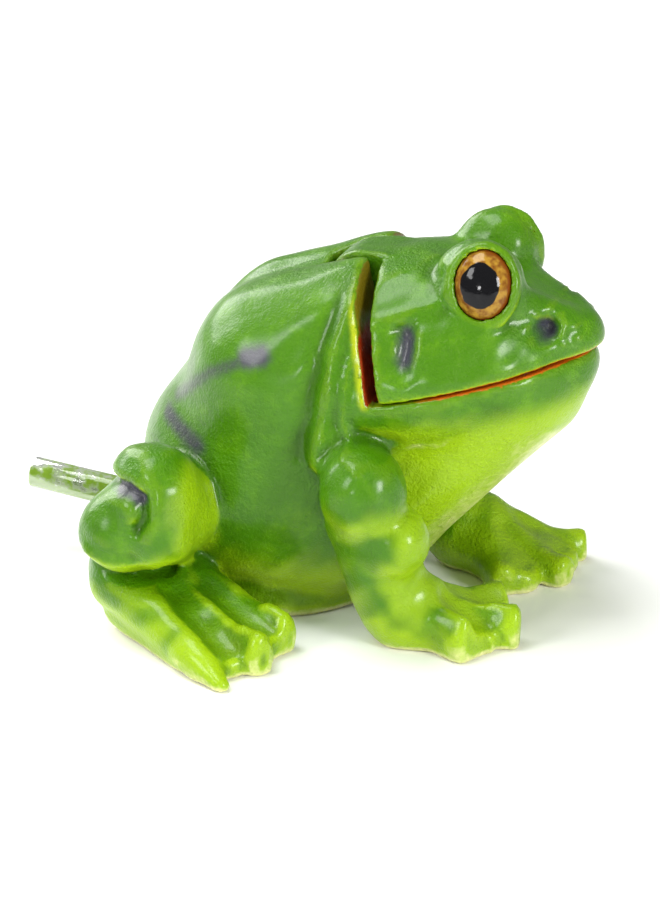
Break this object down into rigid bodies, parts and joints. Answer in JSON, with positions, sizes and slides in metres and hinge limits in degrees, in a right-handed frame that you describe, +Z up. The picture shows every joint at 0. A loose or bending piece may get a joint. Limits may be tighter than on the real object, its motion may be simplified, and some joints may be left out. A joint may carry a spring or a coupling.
{
  "type": "air-operated frog aquarium ornament",
  "caption": "Seated resin frog with a hollow head that rocks open on a hidden hinge when air from a rear tube collects under it.",
  "frame": {"origin": "middle of the bounding box, on the plane the frog stands on", "axes": "+X the way the frog faces, +Y its left side, +Z up"},
  "size_m": [0.1118, 0.1046, 0.0739],
  "materials": {
    "painted_resin": "hand-painted green cast resin under clear gloss varnish",
    "eye": "gloss black pupil in a gold painted ring",
    "steel": "stainless wire",
    "nylon": "natural nylon tube",
    "clear_tube": "clear flexible PVC with green paint flecks",
    "glue": "set glue, painted over"
  },
  "bodies": {
    "body": {"body_casting": "painted_resin", "hinge_pin": "steel", "pin_plug": "painted_resin", "air_tube": "clear_tube", "inlet_bead": "glue", "outlet_bead": "glue"},
    "head": {"head_casting": "painted_resin", "eye_right": "eye", "eye_left": "eye", "hinge_sleeve": "nylon"}
  },
  "joints": [
    {"name": "head_hinge", "type": "hinge", "parent": "body", "child": "head", "pos_m": [0.0105, 0, 0.0635], "axis": [0, -1, 0], "range_deg": [0, 32]}
  ]
}
